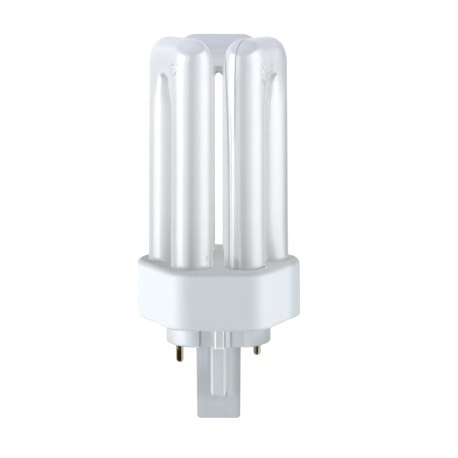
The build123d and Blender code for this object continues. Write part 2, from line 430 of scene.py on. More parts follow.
def read_points(piece):
    """The points of a mesh, one row each."""
    flat_list = np.zeros(len(piece.data.vertices) * 3)
    piece.data.vertices.foreach_get("co", flat_list)
    return flat_list.reshape(-1, 3)


def count_open(piece):
    """Edges that don't lie between exactly two faces."""
    check = bmesh.new()
    check.from_mesh(piece.data)
    number = sum(1 for edge in check.edges if not edge.is_manifold)
    check.free()
    return number


def write_points(piece, points):
    """Put moved points back into the mesh."""
    piece.data.vertices.foreach_set("co", points.ravel())
    piece.data.update()


# %% Press the bend into the mould, and lean the limbs in
lean_share = 0.0357
lean_run = 60 * mm


def lean_at(height):
    """How near the axis the limbs have come at a height, as a share of their reach at the deck."""
    return 1 - lean_share * np.maximum(height - deck_z, 0) / lean_run


points = mould_shape(read_points(arch))
lean = lean_at(points[:, 2])
points[:, 0] *= lean
points[:, 1] *= lean
write_points(arch, points)
print("pressed tube", [round(c / mm, 2) for c in arch.dimensions], "mm")

# %% [markdown]
# ## Folds and notch
# Where the soft tube was pinched between its two limbs, the glass wrinkled: short creases fan out at the
# top of the valley, and on the inner side the mould left a small square notch. Sculpt brushes would do it
# by hand. Here the lines are listed as they run on the wall, and the points near each one are pushed in.

# %% Press the notch
notch_half = 1.1 * mm
notch_top = 103.75 * mm
notch_low = 99.5 * mm
notch_slope = 1.15
notch_margin = 0.3 * mm
points = read_points(arch)
inner_side = (points[:, 1] < pair_plane - notch_margin) & (np.abs(points[:, 0]) < notch_half)
low = inner_side & (points[:, 2] < notch_top) & (points[:, 2] > notch_low)
push = (notch_top - points[low, 2]) * notch_slope
face_y = points[inner_side & (points[:, 2] > notch_top), 1].min()
points[low, 1] = np.minimum(np.maximum(points[low, 1], face_y + push), pair_plane - notch_margin)
write_points(arch, points)
print("notch moved", int(low.sum()), "points")

# %% Lines of the creases: how deep, and their points as (along the pair, height) in millimetres
left_creases = [
    (0.8, [(-2.4, 105.8), (-3.5, 105.1), (-5.7, 104.5)]),
    (1.0, [(-4.7, 106.0), (-6.7, 105.7), (-7.5, 104.9), (-7.9, 104.3), (-7.5, 103.5), (-6.9, 102.9)]),
    (0.5, [(-7.1, 106.8), (-8.4, 105.5)]),
    (0.6, [(-4.4, 104.0), (-6.5, 103.4)]),
    (0.6, [(-7.4, 101.9), (-7.3, 101.5)]),
]
right_creases = [
    (0.7, [(6.3, 106.5), (7.1, 105.6)]),
    (0.9, [(5.3, 105.4), (5.9, 104.6), (6.4, 104.0), (7.0, 103.4)]),
    (1.0, [(1.4, 104.9), (3.9, 103.8)]),
    (0.6, [(2.6, 103.2), (4.4, 102.7)]),
    (0.5, [(-1.3, 103.9), (0.1, 102.7)]),
    (0.9, [(6.4, 101.3), (4.9, 99.8)]),
]
crease_width = 0.19 * mm
crease_depth = 0.13 * mm
outer_wall = 1.5 * mm
near_crease = 0.7 * mm
print("creases", len(left_creases), "and", len(right_creases))


# %% Find and divide the wall near the creases


def line_distance(wall, corners):
    """How far each point of the wall lies from a bent line."""
    corners = np.array(corners) * mm
    nearest = np.full(len(wall), 1.0)
    for start, end in zip(corners, corners[1:]):
        run = end - start
        share = np.clip((wall - start) @ run / (run @ run), 0, 1)
        nearest = np.minimum(nearest, np.linalg.norm(wall - start - share[:, None] * run, axis=1))
    return nearest


def refine_wall(piece, lines):
    """Divide the faces near the creases, so that a fine line has enough points."""
    only(piece)
    bpy.ops.object.mode_set(mode="EDIT")
    bpy.ops.mesh.select_mode(type="FACE")
    bpy.ops.mesh.select_all(action="DESELECT")
    mesh = bmesh.from_edit_mesh(piece.data)
    faces = list(mesh.faces)
    centres = np.array([face.calc_center_median() for face in faces])
    near = np.zeros(len(faces), dtype=bool)
    for depth, corners in lines:
        near |= line_distance(centres[:, [0, 2]], corners) < near_crease
    near &= centres[:, 1] > pair_plane + outer_wall
    for face, chosen in zip(faces, near):
        face.select = bool(chosen)
    bmesh.update_edit_mesh(piece.data)
    bpy.ops.mesh.subdivide(number_cuts=1)
    bpy.ops.object.mode_set(mode="OBJECT")
    print(piece.name, "divided", int(near.sum()), "faces")


# %% Press the creases


def press_creases(piece, lines):
    """Push a groove with soft lips into the outer wall of an arch along each line."""
    refine_wall(piece, lines)
    points = read_points(piece)
    outside = points[:, 1] > pair_plane + outer_wall
    move = np.zeros(int(outside.sum()))
    for depth, corners in lines:
        away = line_distance(points[outside][:, [0, 2]], corners) / crease_width
        move += depth * (np.exp(-away**2) - 0.4 * np.exp(-((away - 1.8) ** 2)))
    points[outside, 1] -= crease_depth * np.clip(move, -0.5, 1.1)
    write_points(piece, points)
    print(piece.name, "creases", len(lines), "deepest", round(crease_depth * move.max() / mm, 2), "mm")


# %% [markdown]
# ## Three arches make the tube
# The three arches are one bent tube three times. The two front limbs end in a flat pinch, where the
# electrode wires leave the glass. An Array modifier could turn the copies, but each arch has its own creases
# and feet, so each copy gets its own mesh before it is turned about the lamp's axis.

# %% Pinch a foot flat
pinch_end = 35.2 * mm
pinch_half = 1.7 * mm
pinch_share = 5.3 / 6.0
pinch_slope_top = 40.2 * mm


def pinch_foot(piece, side):
    """Flatten the foot of one limb between jaws, as wide as the limb allows."""
    points = read_points(piece)
    foot_top = foot_z + foot_round
    foot = (points[:, 0] * side > 0) & (points[:, 2] < foot_top + 1e-7)
    x = points[foot, 0] - side * limb_reach
    y = points[foot, 1] - pair_plane
    radius = np.hypot(x, y)
    grown = np.where(radius > 1e-6, tube_radius / np.maximum(radius, 1e-6), 0)
    z = pinch_end + (points[foot, 2] - foot_z) * (foot_top - pinch_end) / foot_round
    rise = np.clip((z - foot_z) / (pinch_slope_top - foot_z), 0, 1)
    thick = pinch_half + (tube_radius - pinch_half) * rise
    narrow = pinch_share + (1 - pinch_share) * rise
    points[foot, 0] = side * limb_reach + x * grown * narrow
    points[foot, 1] = pair_plane + np.clip(y * grown, -thick, thick)
    points[foot, 2] = z
    write_points(piece, points)
    print(piece.name, "pinched", int(foot.sum()), "points")


# %% Copy and turn the arches
arches = [arch]
for name, turn, lines, pinched in (
    ("arch_left", 120, left_creases, -1), ("arch_right", -120, right_creases, 1)
):
    only(arch)
    bpy.ops.object.duplicate()
    twin = bpy.context.active_object
    twin.name = name
    press_creases(twin, lines)
    pinch_foot(twin, pinched)
    only(twin)
    bpy.ops.transform.rotate(value=math.radians(-turn), orient_axis="Z", center_override=(0, 0, 0))
    settle(twin)
    centre = np.mean(read_points(twin), axis=0) / mm
    print(name, "centre", [round(c, 2) for c in centre])
    arches.append(twin)
press_creases(arch, left_creases)

# %% The right-hand arch came out of its mould a little skewed
pair_x, pair_y = 11.2 * mm, -6.47 * mm
pair_cosine, pair_sine = 0.5, 0.866
pair_middle = 4 * mm
inner_x, limb_apart = 7.65, 7.1
skew_inner, skew_more = 0.07, 0.23
skew_low, skew_high, soft_end = 48.5 * mm, 110 * mm, 8 * mm
points = read_points(arches[2])
along = (points[:, 0] - pair_x) * pair_cosine + (points[:, 1] - pair_y) * pair_sine
outer_share = np.clip(0.5 + along / pair_middle, 0, 1)
outer_share = outer_share**2 * (3 - 2 * outer_share)
middle = (inner_x + limb_apart * outer_share) * mm * lean_at(points[:, 2])
off_deck = np.clip((points[:, 2] - skew_low) / soft_end, 0, 1)
off_top = np.clip((skew_high - points[:, 2]) / soft_end, 0, 1)
skew = (skew_inner + skew_more * outer_share) * (points[:, 0] - middle)
points[:, 1] += skew * (off_deck * off_top)
write_points(arches[2], points)
print("skewed", arches[2].name)

# %% [markdown]
# ## Bridges
# Under the deck, two short glass bridges join the back arch to the others, and a sealed stub is left from
# filling the tube. Cylinders are joined on with the Boolean modifier, so that the glass is one closed
# skin.

# %% Join the arches
only(arch)
for piece in arches:
    piece.select_set(True)
bpy.ops.object.join()
glass = bpy.context.active_object
glass.name = "discharge_tube_glass"
print("glass", len(glass.data.polygons), "faces, open edges", count_open(glass))


# %% Add the bridges
bridge_radius = 2.5 * mm
back_limb = Vector((7.1, 12.933, 40.0)) * mm
side_limb = Vector((14.75, -0.318, 40.0)) * mm


def unite(target, tool):
    """Join a tool to a piece with a Boolean, and remove the tool."""
    only(target)
    union = target.modifiers.new("union", "BOOLEAN")
    union.operation = "UNION"
    union.solver = "MANIFOLD"
    union.object = tool
    bpy.ops.object.modifier_apply(modifier=union.name)
    bpy.data.objects.remove(tool)
    print(target.name, len(target.data.polygons), "faces, open edges", count_open(target))


for side in (-1, 1):
    mirror = Vector((side, 1, 1))
    start, end = back_limb * mirror, side_limb * mirror
    run = end - start
    bpy.ops.object.select_all(action="DESELECT")
    bpy.ops.mesh.primitive_cylinder_add(
        vertices=40, radius=bridge_radius, depth=run.length, location=(start + end) / 2,
        rotation=run.to_track_quat("Z", "Y").to_euler(),
    )
    bridge = bpy.context.active_object
    settle(bridge)
    unite(glass, bridge)

# %% Add the stub, with a rounded end
stub_radius, stub_length, stub_z = 1.6 * mm, 6.4 * mm, 36.8 * mm
stub_end, stub_round = 33.7 * mm, 1.0 * mm
bpy.ops.object.select_all(action="DESELECT")
bpy.ops.mesh.primitive_cylinder_add(
    vertices=32, radius=stub_radius, depth=stub_length, location=(-limb_reach, pair_plane, stub_z)
)
stub = bpy.context.active_object
settle(stub)
bpy.ops.object.mode_set(mode="EDIT")
stub_mesh = bmesh.from_edit_mesh(stub.data)
bpy.ops.mesh.select_all(action="DESELECT")
for edge in stub_mesh.edges:
    edge.select = all(v.co.z < stub_end for v in edge.verts)
bmesh.update_edit_mesh(stub.data)
bpy.ops.mesh.bevel(offset=stub_round, segments=5)
bpy.ops.object.mode_set(mode="OBJECT")
unite(glass, stub)
print("glass", len(glass.data.polygons), "faces, open edges", count_open(glass))

# %% [markdown]
# ## Adhesive
# The limbs are glued into the deck, and a little of the glue was squeezed out beside one front foot. A
# sphere could be flattened for it, but a small disc swept part of the way round the limb and drawn thin at
# both ends follows the foot as the real bead does.

# %% Sweep the bead round the foot
front_limb = Vector((7.65, -12.615, 47.6)) * mm
bead_radius = 0.55 * mm
bead_reach = tube_radius + 0.2 * mm
bead_start, bead_sweep, bead_steps = math.radians(-48), math.radians(56), 28
start_place = front_limb + Vector((math.cos(bead_start), math.sin(bead_start), 0)) * bead_reach
bpy.ops.object.select_all(action="DESELECT")
bpy.ops.mesh.primitive_circle_add(
    vertices=20, radius=bead_radius, fill_type="NGON", location=start_place,
    rotation=(math.pi / 2, 0, bead_start),
)
bead = bpy.context.active_object
bead.name = "adhesive_bead"
settle(bead)
bpy.ops.object.mode_set(mode="EDIT")
bpy.ops.mesh.select_all(action="SELECT")
bpy.ops.mesh.spin(steps=bead_steps, angle=bead_sweep, center=front_limb, axis=(0, 0, -1))
bpy.ops.mesh.select_all(action="SELECT")
bpy.ops.mesh.remove_doubles(threshold=0.0001 * mm)
bpy.ops.mesh.normals_make_consistent(inside=False)
bpy.ops.object.mode_set(mode="OBJECT")
print("swept bead", len(bead.data.polygons), "faces")

# %% Draw the bead thin at both ends and a little uneven
bead_flatness = 0.8
points = read_points(bead) - np.array(front_limb)
angle = np.arctan2(points[:, 1], points[:, 0])
travel = np.clip(np.abs(angle - bead_start) / bead_sweep, 0, 1)
swell = 0.12 + 0.88 * np.sin(math.pi * np.clip(travel, 0.02, 0.98)) ** 0.8
wobble = 1 + 0.18 * np.sin(angle * 9.0) + 0.1 * np.sin(angle * 23.0 + 1.0)
reach = np.hypot(points[:, 0], points[:, 1])
new_reach = bead_reach + (reach - bead_reach) * swell * wobble
points[:, 0] *= new_reach / reach
points[:, 1] *= new_reach / reach
points[:, 2] *= bead_flatness * swell * wobble
write_points(bead, points + np.array(front_limb))
only(bead)
bpy.ops.object.shade_smooth()
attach(bead, "root")
print("bead", len(bead.data.polygons), "faces, open edges", count_open(bead))

# %% [markdown]
# ## Finishes
# Every finish is a tree of shader nodes on Object coordinates, so it stays put on the piece in any view.
# Effects that several finishes share are built once as node groups: clouds of tone, a fine grain, thin
# scuffs, a fade along the height and a soft line. A picture texture would be quicker to paint but would
# need unwrapping and could not be changed by a number.

# %% Helpers for colours and groups


def blend(tree, share, first, second):
    """Mix two colours."""
    node = put(tree, "ShaderNodeMix", data_type="RGBA", blend_type="MIX")
    feed(tree, node.inputs["Factor"], share)
    feed(tree, node.inputs[6], first)
    feed(tree, node.inputs[7], second)
    return node.outputs[2]


def tint(tree, base, colour, *masks):
    """Lay a colour over a base where all the masks meet."""
    return blend(tree, both(tree, *masks), base, (*colour, 1))


def new_group(name, inputs, output):
    """A shader node group with named number inputs and one output."""
    group = bpy.data.node_groups.new(name, "ShaderNodeTree")
    for title, start in inputs.items():
        socket = group.interface.new_socket(title, in_out="INPUT", socket_type="NodeSocketFloat")
        socket.default_value = start
    group.interface.new_socket(output, in_out="OUTPUT", socket_type="NodeSocketFloat")
    return group, put(group, "NodeGroupInput").outputs, put(group, "NodeGroupOutput").inputs[output]


def place_group(tree, group, **values):
    """Put a group into a material with its own values."""
    node = put(tree, "ShaderNodeGroup", node_tree=group)
    for title, value in values.items():
        feed(tree, node.inputs[title], value)
    return node.outputs[0]


def noise(tree, vector, scale, detail=2.0, roughness=0.5):
    """One Noise Texture."""
    node = put(tree, "ShaderNodeTexNoise")
    feed(tree, node.inputs["Vector"], vector)
    feed(tree, node.inputs["Scale"], scale)
    feed(tree, node.inputs["Detail"], detail)
    feed(tree, node.inputs["Roughness"], roughness)
    return node.outputs["Fac"]


# %% Group: clouds of tone
cloud_tone, given, result = new_group("cloud_tone", {"Scale": 60.0, "Detail": 3.0}, "Tone")
spots = noise(cloud_tone, object_place(cloud_tone), given["Scale"], given["Detail"])
feed(cloud_tone, result, step_up(cloud_tone, spots, 0.3, 0.7))
print(cloud_tone.name, len(cloud_tone.nodes), "nodes")

# %% Group: fine grain
fine_grain, given, result = new_group("fine_grain", {"Scale": 900.0}, "Height")
feed(fine_grain, result, noise(fine_grain, object_place(fine_grain), given["Scale"], 5.0, 0.6))
print(fine_grain.name, len(fine_grain.nodes), "nodes")

# %% Group: thin scuffs
thin_scuffs, given, result = new_group("thin_scuffs", {"Scale": 120.0, "Amount": 0.3}, "Mask")
where = object_place(thin_scuffs)
drawn_out = put(thin_scuffs, "ShaderNodeMapping")
drawn_out.inputs["Rotation"].default_value = (0.5, 0.3, 0.8)
drawn_out.inputs["Scale"].default_value = (1.0, 9.0, 1.4)
feed(thin_scuffs, drawn_out.inputs["Vector"], where)
streaks = noise(thin_scuffs, drawn_out.outputs["Vector"], given["Scale"])
amount = both(thin_scuffs, noise(thin_scuffs, where, 90.0), given["Amount"])
feed(thin_scuffs, result, both(thin_scuffs, step_up(thin_scuffs, streaks, 0.62, 0.72), amount))
print(thin_scuffs.name, len(thin_scuffs.nodes), "nodes")

# %% Group: fade along the height
height_fade, given, result = new_group("height_fade", {"Low": 0.0, "High": 0.1}, "Fade")
x, y, z = split_up(height_fade, object_place(height_fade))
feed(height_fade, result, step_up(height_fade, z, given["Low"], given["High"]))
print(height_fade.name, len(height_fade.nodes), "nodes")

# %% Group: soft line
soft_line, given, result = new_group("soft_line", {"Value": 0.0, "Middle": 0.0, "Half": 0.001}, "Line")
away = count(soft_line, "ABSOLUTE", count(soft_line, "SUBTRACT", given["Value"], given["Middle"]))
feed(soft_line, result, step_up(soft_line, away, given["Half"], both(soft_line, given["Half"], 0.3)))
print(soft_line.name, len(soft_line.nodes), "nodes")


# %% Short names for the groups


def clouds(tree, scale, detail):
    """Soft patches of tone."""
    return place_group(tree, cloud_tone, Scale=scale, Detail=detail)


def scuffs(tree, scale, amount):
    """Thin streaks, more in some places than in others."""
    return place_group(tree, thin_scuffs, Scale=scale, Amount=amount)


def line_at(tree, value, middle, half):
    """A soft line where a value comes near its middle."""
    return place_group(tree, soft_line, Value=value, Middle=middle, Half=half)


def over(tree, low, high):
    """A mask that rises along the height, between two levels in millimetres."""
    return place_group(tree, height_fade, Low=low * mm, High=high * mm)


def under(tree, low, high):
    """A mask that falls along the height."""
    return count(tree, "SUBTRACT", 1.0, over(tree, low, high))


def strip(tree, value, low, high, soft):
    """A band between two values in millimetres, with soft sides."""
    rise = step_up(tree, value, (low - soft) * mm, (low + soft) * mm)
    return count(tree, "SUBTRACT", rise, step_up(tree, value, (high - soft) * mm, (high + soft) * mm))


def roughen(tree, shader, height, distance, strength):
    """Feed a height into the shader's normal through a Bump node."""
    bump = put(tree, "ShaderNodeBump")
    bump.inputs["Distance"].default_value = distance
    bump.inputs["Strength"].default_value = strength
    feed(tree, bump.inputs["Height"], height)
    feed(tree, shader.inputs["Normal"], bump.outputs["Normal"])


def grain(tree, shader, scale, distance, strength):
    """A fine moulded grain in the shader's normal."""
    roughen(tree, shader, place_group(tree, fine_grain, Scale=scale), distance, strength)


# %% [markdown]
# ## Coated glass
# Clear glass over a white powder coat: sharp reflections on a chalky white. A clear shell over a white core
# would be truer, but one shader with a sharp gloss on a white base looks the same from outside and bakes as
# it is. The coat's tone is darker and greyer toward the feet and a little cloudy. Painted shade darkens the
# creases and the notch; it is kept as an attribute on the mesh, because it follows the lines that were
# pressed. Thin dark lines down both front limbs and over the right arch are painted reflections of the
# neighbouring limbs. Strips on the limbs and a band round the feet are rougher, and the strips are painted
# paler: painted light. A few tones are painted shade: the outer right edge, the back arch and one front
# foot.

# %% Mark painted shade in the creases and the notch on the glass
leaned_plane = pair_plane * 0.96
inner_face = leaned_plane - 0.2 * mm
mark_start, mark_low, mark_dark = 4 * mm, 100.5 * mm, 102.6 * mm
points = read_points(glass)
fold = np.zeros(len(points))
for turn, lines in ((0, left_creases), (120, left_creases), (-120, right_creases)):
    cosine, sine = math.cos(math.radians(turn)), math.sin(math.radians(turn))
    along = points[:, 0] * cosine + points[:, 1] * sine
    out_of = -points[:, 0] * sine + points[:, 1] * cosine
    wall = np.stack([along, points[:, 2]], axis=1)
    for depth, corners in lines:
        away = line_distance(wall, corners) / crease_width
        fold += np.where(out_of > leaned_plane + outer_wall, depth * np.exp(-1.3 * away**2), 0)
    in_notch = (np.abs(along) < notch_half) & (out_of > mark_start) & (out_of < inner_face)
    in_notch &= (points[:, 2] < notch_top + 0.05 * mm) & (points[:, 2] > mark_low)
    fold += np.where(in_notch, 0.45 + 0.55 * np.clip((mark_dark - points[:, 2]) / mm, 0, 1), 0)
marks = glass.data.attributes.new("fold", "FLOAT", "POINT")
marks.data.foreach_set("value", np.clip(fold, 0, 1))
print("fold marks on", int((fold > 0.2).sum()), "points")

# %% Glass: coat, clouds and painted shade in the folds
coat_stops = [
    (0.0, (0.57, 0.58, 0.59)), (0.12, (0.69, 0.71, 0.72)), (0.24, (0.79, 0.81, 0.81)),
    (0.50, (0.88, 0.895, 0.90)), (0.76, (0.93, 0.935, 0.955)), (1.0, (0.92, 0.93, 0.985)),
]
coated, tree, shader = new_paint("powdered_glass")
x, y, z = split_up(tree, object_place(tree))
tone = ramp(tree, step_up(tree, z, 47 * mm, 113 * mm, "LINEAR"), coat_stops)
tone = tint(tree, tone, (0.80, 0.83, 0.82), clouds(tree, 75.0, 4.0), 0.22)
# Painted shade in the creases and the notch, read from the fold attribute.
crease_shade = put(tree, "ShaderNodeAttribute", attribute_name="fold").outputs["Fac"]
tone = tint(tree, tone, (0.36, 0.37, 0.37), crease_shade, 0.75)
print("coat", len(coat_stops), "tones")

# %% Glass: painted reflection lines
# Dark lines down both front limbs and over the right arch are painted reflections of the neighbouring limbs.
on_front = step_up(tree, y, -11.5 * mm, -13 * mm)
below_bend = under(tree, 90, 99)
climb = count(tree, "DIVIDE", count(tree, "SUBTRACT", z, 48 * mm), 60 * mm)
squared = both(tree, climb, climb)
reflection_place = count(tree, "MULTIPLY_ADD", both(tree, squared, climb), 1.24 * mm, x)
thin_place = count(tree, "MULTIPLY_ADD", squared, 0.56 * mm, x)
reflection_line = line_at(tree, reflection_place, 3.16 * mm, 0.44 * mm)
thin_line = both(tree, line_at(tree, thin_place, 3.92 * mm, 0.20 * mm), below_bend, 0.8)
left_line = line_at(tree, x, -12.02 * mm, 0.36 * mm)
left_pair = count(tree, "ADD", left_line, line_at(tree, x, -12.72 * mm, 0.18 * mm))
right_pair = count(tree, "MAXIMUM", reflection_line, thin_line)
front_lines = count(tree, "MAXIMUM", right_pair, both(tree, left_pair, below_bend, 0.3))
pair_side = count(tree, "MULTIPLY_ADD", x, 0.866, count(tree, "MULTIPLY", y, -0.5))
arch_reflection = both(tree, line_at(tree, pair_side, pair_plane, 0.34 * mm), over(tree, 80, 90))
arch_reflection = both(tree, arch_reflection, step_up(tree, y, -9 * mm, -12 * mm))
reflection_lines = count(tree, "MAXIMUM", both(tree, front_lines, on_front), arch_reflection)
print("with mould lines", len(tree.nodes), "nodes")

# %% Glass: rougher strips, painted paler as painted light
foot_strip = both(tree, strip(tree, x, 3.3, 4.42, 0.14), under(tree, 48, 76), 0.4)
front_strip = count(tree, "ADD", strip(tree, x, 4.42, 5.95, 0.14), foot_strip)
on_outer = step_up(tree, y, -9 * mm, -8 * mm)
right_strip = strip(tree, x, 12.4, 15.2, 0.7)
outer_strips = count(tree, "MULTIPLY_ADD", strip(tree, x, -16.9, -13.8, 0.4), 0.6, right_strip)
rough_and_lit = count(tree, "MAXIMUM", both(tree, front_strip, on_front), both(tree, outer_strips, on_outer))
rough_and_lit = both(tree, rough_and_lit, under(tree, 100, 107))
outer_strip_light = count(tree, "MULTIPLY_ADD", on_outer, 0.3, 0.15)
strip_light = count(tree, "MULTIPLY_ADD", over(tree, 48, 76), 0.65, outer_strip_light)
# The strips are rougher, and painted paler: painted light.
tone = tint(tree, tone, (0.99, 0.995, 0.995), rough_and_lit, strip_light)
print("with film", len(tree.nodes), "nodes")

# %% Glass: painted shade on the right edge, the back arch and one front foot, and the reflection lines
past_bend = count(tree, "MAXIMUM", count(tree, "SUBTRACT", z, 96 * mm), 0.0)
edge_place = count(tree, "MULTIPLY_ADD", past_bend, 0.13, x)
edge_depth = count(tree, "MULTIPLY_ADD", below_bend, 0.4, 0.5)
right_edge = step_up(tree, edge_place, 18.4 * mm, 20.4 * mm)
tone = tint(tree, tone, (0.42, 0.46, 0.55), right_edge, edge_depth)
back_arch = step_up(tree, y, 5.2 * mm, 6.8 * mm)
tone = tint(tree, tone, (0.73, 0.745, 0.80), back_arch, over(tree, 105.4, 108), 0.6)
front_foot = both(tree, strip(tree, x, 0.2, 6.2, 1.2), under(tree, 48.6, 52), on_front)
tone = tint(tree, tone, (0.27, 0.29, 0.27), front_foot, 0.8)
# The reflection lines are painted dark.
feed(tree, shader.inputs["Base Color"], tint(tree, tone, (0.40, 0.41, 0.42), reflection_lines, 0.7))
print("with shade", len(tree.nodes), "nodes")

# %% Glass: gloss, and the faint ripple of drawn tube
dull = count(tree, "MAXIMUM", count(tree, "MAXIMUM", rough_and_lit, reflection_lines), under(tree, 48, 49))
clean = count(tree, "ADD", scuffs(tree, 70.0, 0.10), 0.035)
feed(tree, shader.inputs["Roughness"], count(tree, "MULTIPLY_ADD", dull, 0.55, clean))
shader.inputs["IOR"].default_value = 1.5
drawn = put(tree, "ShaderNodeMapping")
drawn.inputs["Scale"].default_value = (1.0, 1.0, 0.06)
feed(tree, drawn.inputs["Vector"], object_place(tree))
roughen(tree, shader, noise(tree, drawn.outputs["Vector"], 260.0), 0.12 * mm, 0.35)
glass.data.materials.clear()
glass.data.materials.append(coated)
only(glass)
bpy.ops.object.shade_smooth_by_angle(angle=math.radians(40))
print("glass finish", len(tree.nodes), "nodes")

# %% The glass lets light through
# Thin powder on glass glows with the light behind it, so the limbs don't shade or mirror one another.
glass.visible_diffuse = False
glass.visible_glossy = False
glass.visible_shadow = False
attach(glass, "root")
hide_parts("discharge_tube")
print("glass in place of the plain tube")

# %% [markdown]
# ## Lamps
# A cool lamp hangs over the tube tops, a small one stands close to the left shoulder, and three light the
# shell and the cap. Each is linked to one piece alone, as a photographer would shade the others with a
# card. Spot lights could be masked with real cards, but light linking needs no extra shapes.

# %% Hang the lamps


def piece_lamp(name, piece, place, aim, size, watts, colour):
    """A soft lamp that lights one piece only and doesn't show in gloss."""
    lamp_data = bpy.data.lights.new(name, "AREA")
    lamp_data.size = size
    lamp_data.energy = watts
    lamp_data.color = colour
    lamp = bpy.data.objects.new(name, lamp_data)
    lamp.location = place
    lamp.rotation_euler = (Vector(aim) - lamp.location).to_track_quat("-Z", "Y").to_euler()
    lamp.visible_glossy = False
    lamp.visible_camera = False
    lamp.light_linking.receiver_collection = bpy.data.collections.new(name)
    lamp.light_linking.receiver_collection.objects.link(piece)
    bpy.context.scene.collection.objects.link(lamp)
    print(name, watts, "W")
    return lamp_data


housing, base_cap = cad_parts["housing"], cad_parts["base_cap"]
tube_foot = (0, 0, 40 * mm)
left_shoulder = (-14 * mm, -4 * mm, 111 * mm)
shoulder_place = (-55 * mm, -20 * mm, 165 * mm)
soft_white = (0.95, 0.98, 1.0)
overhead = piece_lamp("overhead", glass, (0, 0, 0.55), (0, 0, 0), 0.3, 0.5, (0.76, 0.81, 1.0))
overhead.shape = "DISK"
piece_lamp("shoulder", glass, shoulder_place, left_shoulder, 0.04, 0.010, (0.92, 0.95, 1.0))
piece_lamp("left_lamp", housing, (-0.42, -0.10, 0.02), tube_foot, 0.06, 0.62, soft_white)
piece_lamp("right_lamp", housing, (0.40, -0.12, 0.15), tube_foot, 0.06, 0.29, soft_white)
piece_lamp("cap_lamp", base_cap, (-0.24, -0.44, 0.05), tube_foot, 0.06, 0.74, soft_white)

# %% [markdown]
# ## White plastic
# The shell and the cap are moulded in a satin white plastic that is slightly milky. The shell's deck is
# painted a mottled grey-green shade, darker on the left and between the feet. On the cap, soft pale lines
# are painted highlights on the edges of the latch rib, the collar's key bar and the collar's rim.
# Subsurface scattering would make the wall milky by itself, but it is slow and noisy. Wide soft tones are
# painted shade on the shell's rims, front face and right corner, and painted light and shade on the post
# and the collar.

# %% Housing: shell tones and painted shade
shell, tree, shader = new_paint("satin_shell")
x, y, z = split_up(tree, object_place(tree))
facing_y, facing_z = split_up(tree, put(tree, "ShaderNodeNewGeometry").outputs["Normal"])[1:]
tone = tint(tree, (0.875, 0.90, 0.92, 1), (0.83, 0.87, 0.88), clouds(tree, 55.0, 3.0), 0.30)
# Painted shade on the rounded rims and fillets.
rim = line_at(tree, facing_z, 0.52, 0.45)
tone = tint(tree, tone, (0.66, 0.69, 0.72), rim, 0.6)
# Painted shade on the front face, which the side light reaches less.
front_face_shade = step_up(tree, facing_y, -0.80, -0.97)
tone = tint(tree, tone, (0.755, 0.785, 0.81), front_face_shade, 0.6)
# Painted shade on the right corner, which turns away from the light.
right_corner_shade = step_up(tree, x, 20 * mm, 22.6 * mm)
tone = tint(tree, tone, (0.52, 0.585, 0.62), right_corner_shade, 0.8)
print("shell tones", len(tree.nodes), "nodes")

# %% Housing: painted shade on the deck, scuffs and grain
# The deck is painted a mottled grey-green shade, darker on the left and between the feet.
on_deck = step_up(tree, facing_z, 0.75, 0.98)
deck_shade = both(tree, on_deck, count(tree, "MULTIPLY_ADD", clouds(tree, 140.0, 4.0), 0.3, 0.65))
rightness = step_up(tree, x, -20 * mm, -2 * mm)
deck_shade_tone = blend(tree, rightness, (0.60, 0.65, 0.62, 1), (0.98, 1.0, 0.98, 1))
in_well = step_up(tree, y, -9 * mm, 2 * mm)
deck_shade_tone = tint(tree, deck_shade_tone, (0.66, 0.68, 0.62), in_well, 0.5)
tone = blend(tree, deck_shade, tone, deck_shade_tone)
scuffed = scuffs(tree, 110.0, 0.35)
feed(tree, shader.inputs["Base Color"], tint(tree, tone, (0.93, 0.94, 0.95), scuffed, 0.35))
feed(tree, shader.inputs["Roughness"], count(tree, "MULTIPLY_ADD", scuffed, 0.25, 0.47))
shader.inputs["Specular IOR Level"].default_value = 0.45
grain(tree, shader, 1400.0, 0.03 * mm, 0.25)
housing.material_slots[0].material = shell
housing.visible_glossy = False
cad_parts["limb_cement"].visible_glossy = False
print("housing finish", len(tree.nodes), "nodes")

# %% Cap: painted highlights on the edges of the rib, the key bar and the collar's rim
cap, tree, shader = new_paint("satin_cap")
x, y, z = split_up(tree, object_place(tree))
across = count(tree, "ABSOLUTE", x)
depth = count(tree, "ABSOLUTE", y)
on_post = under(tree, 23.2, 23.8)
on_collar = count(tree, "SUBTRACT", 1.0, on_post)
proud = both(tree, on_post, step_up(tree, depth, 7.5 * mm, 7.9 * mm))
on_rib = both(tree, proud, over(tree, 7.0, 8.2))
rib_lines = both(tree, line_at(tree, across, 1.96 * mm, 0.6 * mm), on_rib)
bar_left = both(tree, line_at(tree, x, -1.0 * mm, 0.46 * mm), 0.8)
bar_lines = count(tree, "ADD", bar_left, line_at(tree, x, 1.6 * mm, 0.46 * mm), clamp=True)
bar_lines = both(tree, bar_lines, step_up(tree, y, -15.5 * mm, -15.9 * mm))
outside = step_up(tree, depth, 14.6 * mm, 15.2 * mm, "LINEAR")
rim_line = both(tree, line_at(tree, z, 24.0 * mm, 0.4 * mm), outside, 0.6)
# These pale lines are painted highlights on the edges.
highlit = count(tree, "ADD", count(tree, "ADD", rib_lines, bar_lines, clamp=True), rim_line, clamp=True)
print("rubbed lines", len(tree.nodes), "nodes")

# %% Cap: tones of the rib, and painted light and shade on its flank, the tip, the post's sides and the collar
tone = tint(tree, (0.56, 0.59, 0.605, 1), (0.52, 0.555, 0.575), clouds(tree, 85.0, 4.0), 0.45)
rib_front = line_at(tree, across, 0.0, 2.6 * mm)
tone = tint(tree, tone, (0.75, 0.775, 0.78), rib_front, on_rib, 0.9)
# Painted shade on the rib's left flank.
left_flank_shade = line_at(tree, x, -2.95 * mm, 0.7 * mm)
tone = tint(tree, tone, (0.475, 0.50, 0.52), left_flank_shade, proud, 0.6)
